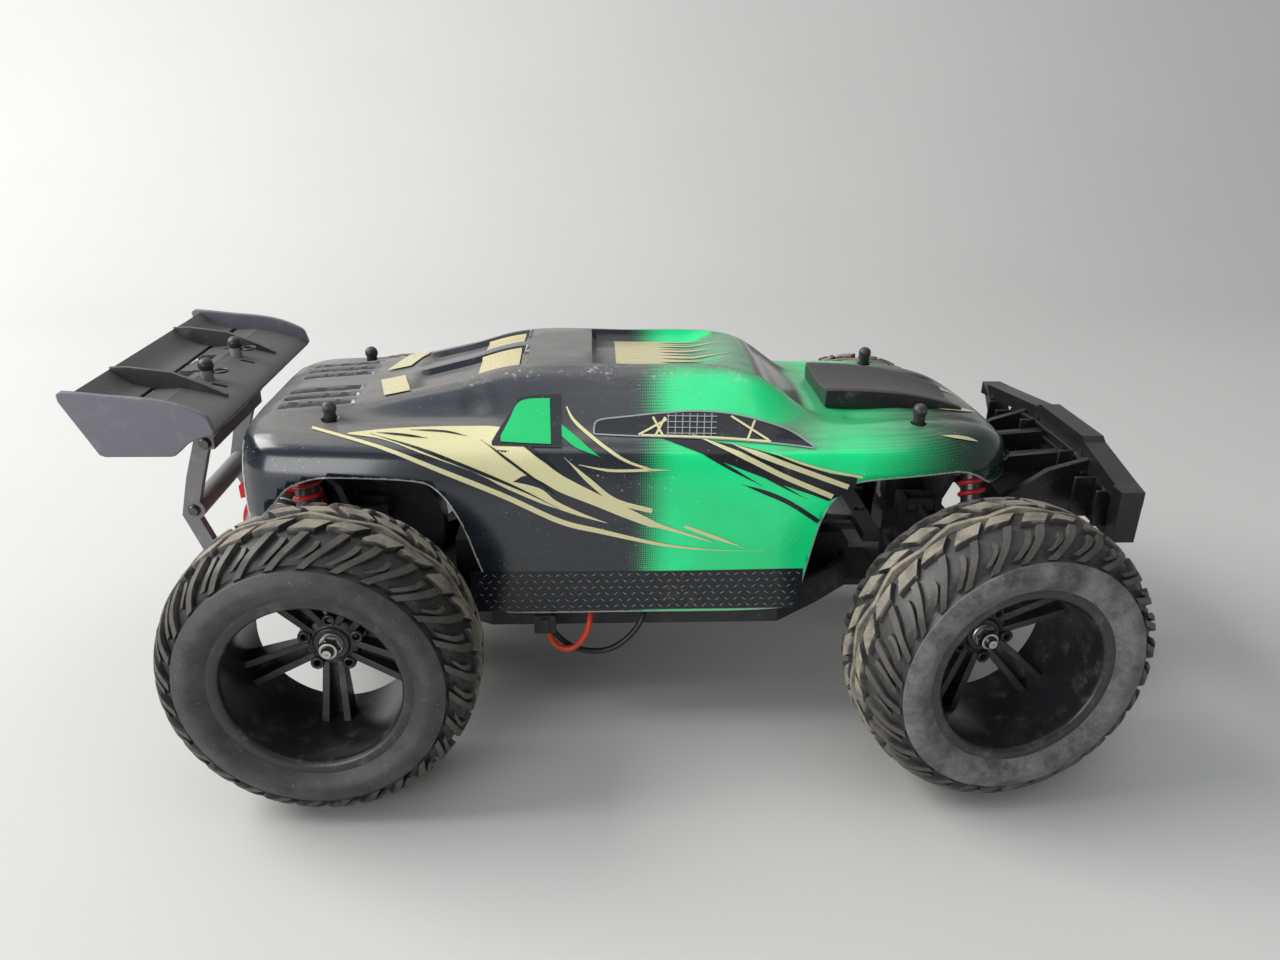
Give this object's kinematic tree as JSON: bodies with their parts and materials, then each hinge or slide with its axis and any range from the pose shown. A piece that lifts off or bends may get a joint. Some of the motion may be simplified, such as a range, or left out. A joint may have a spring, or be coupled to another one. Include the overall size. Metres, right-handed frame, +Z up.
{
  "type": "radio-controlled monster truck",
  "caption": "Hobby radio-controlled truck with sprung suspension, steering front wheels, driven rear wheels, lift-off painted shell, rear wing and front bumper.",
  "frame": {"origin": "on the ground under the centre of the truck's box", "axes": "+X forward, +Y to the truck's left, +Z up"},
  "size_m": [0.397, 0.2502, 0.1435],
  "materials": {
    "battery": "shrink wrap",
    "black_plastic": "moulded",
    "bumper": "semi gloss",
    "connector": "nylon",
    "gear": "acetal",
    "grey_plastic": "moulded",
    "motor": "satin can",
    "rim": "moulded, dusty",
    "shell": "printed, green to dark blue, cream flashes",
    "spring": "red enamel",
    "steel": "zinc plated",
    "tyre": "dusty rubber",
    "wing": "moulded grey-black",
    "wire_black": "insulation",
    "wire_red": "insulation"
  },
  "bodies": {
    "truck": {"chassis": "black_plastic", "gearbox_case": "grey_plastic", "motor": "motor", "shock_towers": "black_plastic", "tail_frame": "black_plastic", "wing": "wing", "fasteners": "steel", "front_bumper": "bumper", "battery": "battery", "servo_and_controller": "black_plastic", "battery_connector": "connector", "battery_lead_red": "wire_red", "battery_lead_black": "wire_black"},
    "shell": {"body_shell": "shell"},
    "spur_gear": {"spur_gear": "gear"},
    "motor_pinion": {"motor_pinion": "steel"},
    "servo_horn": {"servo_horn": "black_plastic"},
    "steering_link": {"steering_link": "black_plastic"},
    "rear_left_arm": {"rear_lower_arm_left": "black_plastic"},
    "rear_left_link": {"rear_upper_link_left": "black_plastic"},
    "rear_left_shock": {"rear_shock_cylinder_left": "black_plastic", "rear_shock_spring_left": "spring"},
    "rear_left_shock_rod": {"rear_shock_rod_left": "grey_plastic"},
    "rear_left_wheel": {"rear_rim_left": "rim", "rear_tyre_left": "tyre", "rear_axle_left": "steel"},
    "rear_left_carrier": {"rear_hub_left": "black_plastic"},
    "rear_left_shaft": {"drive_shaft_left": "steel"},
    "rear_right_arm": {"rear_lower_arm_right": "black_plastic"},
    "rear_right_link": {"rear_upper_link_right": "black_plastic"},
    "rear_right_shock": {"rear_shock_cylinder_right": "black_plastic", "rear_shock_spring_right": "spring"},
    "rear_right_shock_rod": {"rear_shock_rod_right": "grey_plastic"},
    "rear_right_wheel": {"rear_rim_right": "rim", "rear_tyre_right": "tyre", "rear_axle_right": "steel"},
    "rear_right_carrier": {"rear_hub_right": "black_plastic"},
    "rear_right_shaft": {"drive_shaft_right": "steel"},
    "front_left_arm": {"front_lower_arm_left": "black_plastic"},
    "front_left_link": {"front_upper_link_left": "black_plastic"},
    "front_left_shock": {"front_shock_cylinder_left": "black_plastic", "front_shock_spring_left": "spring"},
    "front_left_shock_rod": {"front_shock_rod_left": "grey_plastic"},
    "front_left_wheel": {"front_rim_left": "rim", "front_tyre_left": "tyre", "front_axle_left": "steel"},
    "front_left_carrier": {"caster_block_left": "black_plastic"},
    "front_left_knuckle": {"steering_knuckle_left": "black_plastic"},
    "track_rod_left": {"track_rod_left": "black_plastic"},
    "front_right_arm": {"front_lower_arm_right": "black_plastic"},
    "front_right_link": {"front_upper_link_right": "black_plastic"},
    "front_right_shock": {"front_shock_cylinder_right": "black_plastic", "front_shock_spring_right": "spring"},
    "front_right_shock_rod": {"front_shock_rod_right": "grey_plastic"},
    "front_right_wheel": {"front_rim_right": "rim", "front_tyre_right": "tyre", "front_axle_right": "steel"},
    "front_right_carrier": {"caster_block_right": "black_plastic"},
    "front_right_knuckle": {"steering_knuckle_right": "black_plastic"},
    "track_rod_right": {"track_rod_right": "black_plastic"}
  },
  "joints": [
    {"name": "shell_lift", "type": "slide", "parent": "truck", "child": "shell", "axis": [0, 0, 1], "range_m": [0, 0.09]},
    {"name": "spur_spin", "type": "hinge", "parent": "truck", "child": "spur_gear", "pos_m": [-0.1078, 0, 0.063], "axis": [0, 1, 0], "continuous": true},
    {"name": "pinion_spin", "type": "hinge", "parent": "truck", "child": "motor_pinion", "pos_m": [-0.1398, 0, 0.0745], "axis": [0, 1, 0], "continuous": true},
    {"name": "horn_turn", "type": "hinge", "parent": "truck", "child": "servo_horn", "pos_m": [0.087, 0, 0.062], "axis": [0, 0, 1], "range_deg": [-14, 30]},
    {"name": "link_slide", "type": "slide", "parent": "truck", "child": "steering_link", "axis": [0, 1, 0], "range_m": [-0.006, 0.011]},
    {"name": "rear_left_bump", "type": "hinge", "parent": "truck", "child": "rear_left_arm", "pos_m": [-0.1078, 0.016, 0.046], "axis": [1, 0, 0], "range_deg": [0, 18], "stiffness_Nm_per_rad": 0.9, "springref_deg": -34.38},
    {"name": "rear_left_link_swing", "type": "hinge", "parent": "truck", "child": "rear_left_link", "pos_m": [-0.1078, 0.016, 0.074], "axis": [1, 0, 0], "range_deg": [0, 18]},
    {"name": "rear_left_carrier_swing", "type": "hinge", "parent": "rear_left_arm", "child": "rear_left_carrier", "pos_m": [-0.1078, 0.06, 0.038], "axis": [1, 0, 0], "range_deg": [-18, 0]},
    {"name": "rear_left_shock_swing", "type": "hinge", "parent": "truck", "child": "rear_left_shock", "pos_m": [-0.1233, 0.04, 0.114], "axis": [1, 0, 0], "range_deg": [0, 1.59]},
    {"name": "rear_left_shock_stroke", "type": "slide", "parent": "rear_left_shock", "child": "rear_left_shock_rod", "axis": [0, -0.1627, 0.9867], "range_m": [0, 0.0112], "deforming": ["rear_shock_spring_left"]},
    {"name": "rear_left_shaft_swing", "type": "hinge", "parent": "truck", "child": "rear_left_shaft", "pos_m": [-0.1078, 0.018, 0.063], "axis": [1, 0, 0], "range_deg": [0, 18]},
    {"name": "rear_left_spin", "type": "hinge", "parent": "rear_left_carrier", "child": "rear_left_wheel", "pos_m": [-0.1078, 0.09, 0.055], "axis": [0, 1, 0], "continuous": true},
    {"name": "rear_right_bump", "type": "hinge", "parent": "truck", "child": "rear_right_arm", "pos_m": [-0.1078, -0.016, 0.046], "axis": [-1, 0, 0], "range_deg": [0, 18], "stiffness_Nm_per_rad": 0.9, "springref_deg": -34.38},
    {"name": "rear_right_link_swing", "type": "hinge", "parent": "truck", "child": "rear_right_link", "pos_m": [-0.1078, -0.016, 0.074], "axis": [-1, 0, 0], "range_deg": [0, 18]},
    {"name": "rear_right_carrier_swing", "type": "hinge", "parent": "rear_right_arm", "child": "rear_right_carrier", "pos_m": [-0.1078, -0.06, 0.038], "axis": [-1, 0, 0], "range_deg": [-18, 0]},
    {"name": "rear_right_shock_swing", "type": "hinge", "parent": "truck", "child": "rear_right_shock", "pos_m": [-0.1233, -0.04, 0.114], "axis": [-1, 0, 0], "range_deg": [0, 1.59]},
    {"name": "rear_right_shock_stroke", "type": "slide", "parent": "rear_right_shock", "child": "rear_right_shock_rod", "axis": [0, 0.1627, 0.9867], "range_m": [0, 0.0112], "deforming": ["rear_shock_spring_right"]},
    {"name": "rear_right_shaft_swing", "type": "hinge", "parent": "truck", "child": "rear_right_shaft", "pos_m": [-0.1078, -0.018, 0.063], "axis": [-1, 0, 0], "range_deg": [0, 18]},
    {"name": "rear_right_spin", "type": "hinge", "parent": "rear_right_carrier", "child": "rear_right_wheel", "pos_m": [-0.1078, -0.09, 0.055], "axis": [0, 1, 0], "continuous": true},
    {"name": "front_left_bump", "type": "hinge", "parent": "truck", "child": "front_left_arm", "pos_m": [0.1273, 0.012, 0.046], "axis": [1, 0, 0], "range_deg": [0, 18], "stiffness_Nm_per_rad": 0.9, "springref_deg": -34.38},
    {"name": "front_left_link_swing", "type": "hinge", "parent": "truck", "child": "front_left_link", "pos_m": [0.1273, 0.012, 0.074], "axis": [1, 0, 0], "range_deg": [0, 18]},
    {"name": "front_left_carrier_swing", "type": "hinge", "parent": "front_left_arm", "child": "front_left_carrier", "pos_m": [0.1273, 0.056, 0.038], "axis": [1, 0, 0], "range_deg": [-18, 0]},
    {"name": "front_left_shock_swing", "type": "hinge", "parent": "truck", "child": "front_left_shock", "pos_m": [0.1428, 0.022, 0.106], "axis": [1, 0, 0], "range_deg": [0, 3.93]},
    {"name": "front_left_shock_stroke", "type": "slide", "parent": "front_left_shock", "child": "front_left_shock_rod", "axis": [0, -0.3748, 0.9271], "range_m": [0, 0.01046], "deforming": ["front_shock_spring_left"]},
    {"name": "front_left_steer", "type": "hinge", "parent": "front_left_carrier", "child": "front_left_knuckle", "pos_m": [0.1273, 0.064, 0.055], "axis": [0, 0, 1], "range_deg": [-30, 14]},
    {"name": "front_left_spin", "type": "hinge", "parent": "front_left_knuckle", "child": "front_left_wheel", "pos_m": [0.12364, 0.08974, 0.055], "axis": [-0.1409, 0.99, 0], "continuous": true},
    {"name": "track_rod_left_swing", "type": "hinge", "parent": "steering_link", "child": "track_rod_left", "pos_m": [0.1098, 0.01946, 0.066], "axis": [1, 0, 0], "range_deg": [0, 18]},
    {"name": "front_right_bump", "type": "hinge", "parent": "truck", "child": "front_right_arm", "pos_m": [0.1273, -0.012, 0.046], "axis": [-1, 0, 0], "range_deg": [0, 18], "stiffness_Nm_per_rad": 0.9, "springref_deg": -34.38},
    {"name": "front_right_link_swing", "type": "hinge", "parent": "truck", "child": "front_right_link", "pos_m": [0.1273, -0.012, 0.074], "axis": [-1, 0, 0], "range_deg": [0, 18]},
    {"name": "front_right_carrier_swing", "type": "hinge", "parent": "front_right_arm", "child": "front_right_carrier", "pos_m": [0.1273, -0.056, 0.038], "axis": [-1, 0, 0], "range_deg": [-18, 0]},
    {"name": "front_right_shock_swing", "type": "hinge", "parent": "truck", "child": "front_right_shock", "pos_m": [0.1428, -0.022, 0.106], "axis": [-1, 0, 0], "range_deg": [0, 3.93]},
    {"name": "front_right_shock_stroke", "type": "slide", "parent": "front_right_shock", "child": "front_right_shock_rod", "axis": [0, 0.3748, 0.9271], "range_m": [0, 0.01046], "deforming": ["front_shock_spring_right"]},
    {"name": "front_right_steer", "type": "hinge", "parent": "front_right_carrier", "child": "front_right_knuckle", "pos_m": [0.1273, -0.064, 0.055], "axis": [0, 0, 1], "range_deg": [-30, 14]},
    {"name": "front_right_spin", "type": "hinge", "parent": "front_right_knuckle", "child": "front_right_wheel", "pos_m": [0.13096, -0.08974, 0.055], "axis": [-0.1409, 0.99, 0], "continuous": true},
    {"name": "track_rod_right_swing", "type": "hinge", "parent": "steering_link", "child": "track_rod_right", "pos_m": [0.1098, -0.02454, 0.066], "axis": [-1, 0, 0], "range_deg": [0, 18]}
  ],
  "couplings": [
    {"joint": "link_slide", "follows": "horn_turn", "m_per_rad": 0.0178},
    {"joint": "rear_left_link_swing", "follows": "rear_left_bump", "ratio": 1},
    {"joint": "rear_left_carrier_swing", "follows": "rear_left_bump", "ratio": -1},
    {"joint": "rear_left_shock_swing", "follows": "rear_left_bump", "ratio": 0.0855},
    {"joint": "rear_left_shock_stroke", "follows": "rear_left_bump", "m_per_rad": 0.035496},
    {"joint": "rear_left_shaft_swing", "follows": "rear_left_bump", "ratio": 1},
    {"joint": "rear_right_link_swing", "follows": "rear_right_bump", "ratio": 1},
    {"joint": "rear_right_carrier_swing", "follows": "rear_right_bump", "ratio": -1},
    {"joint": "rear_right_shock_swing", "follows": "rear_right_bump", "ratio": 0.0855},
    {"joint": "rear_right_shock_stroke", "follows": "rear_right_bump", "m_per_rad": 0.035496},
    {"joint": "rear_right_shaft_swing", "follows": "rear_right_bump", "ratio": 1},
    {"joint": "front_left_link_swing", "follows": "front_left_bump", "ratio": 1},
    {"joint": "front_left_carrier_swing", "follows": "front_left_bump", "ratio": -1},
    {"joint": "front_left_shock_swing", "follows": "front_left_bump", "ratio": 0.21577},
    {"joint": "front_left_shock_stroke", "follows": "front_left_bump", "m_per_rad": 0.033142},
    {"joint": "front_left_steer", "follows": "horn_turn", "ratio": -1},
    {"joint": "track_rod_left_swing", "follows": "front_left_bump", "ratio": 1},
    {"joint": "front_right_link_swing", "follows": "front_right_bump", "ratio": 1},
    {"joint": "front_right_carrier_swing", "follows": "front_right_bump", "ratio": -1},
    {"joint": "front_right_shock_swing", "follows": "front_right_bump", "ratio": 0.21577},
    {"joint": "front_right_shock_stroke", "follows": "front_right_bump", "m_per_rad": 0.033142},
    {"joint": "front_right_steer", "follows": "horn_turn", "ratio": -1},
    {"joint": "track_rod_right_swing", "follows": "front_right_bump", "ratio": 1},
    {"joint": "rear_left_spin", "follows": "rear_right_spin", "ratio": 1},
    {"joint": "spur_spin", "follows": "rear_right_spin", "ratio": 1},
    {"joint": "pinion_spin", "follows": "rear_right_spin", "ratio": -4}
  ]
}
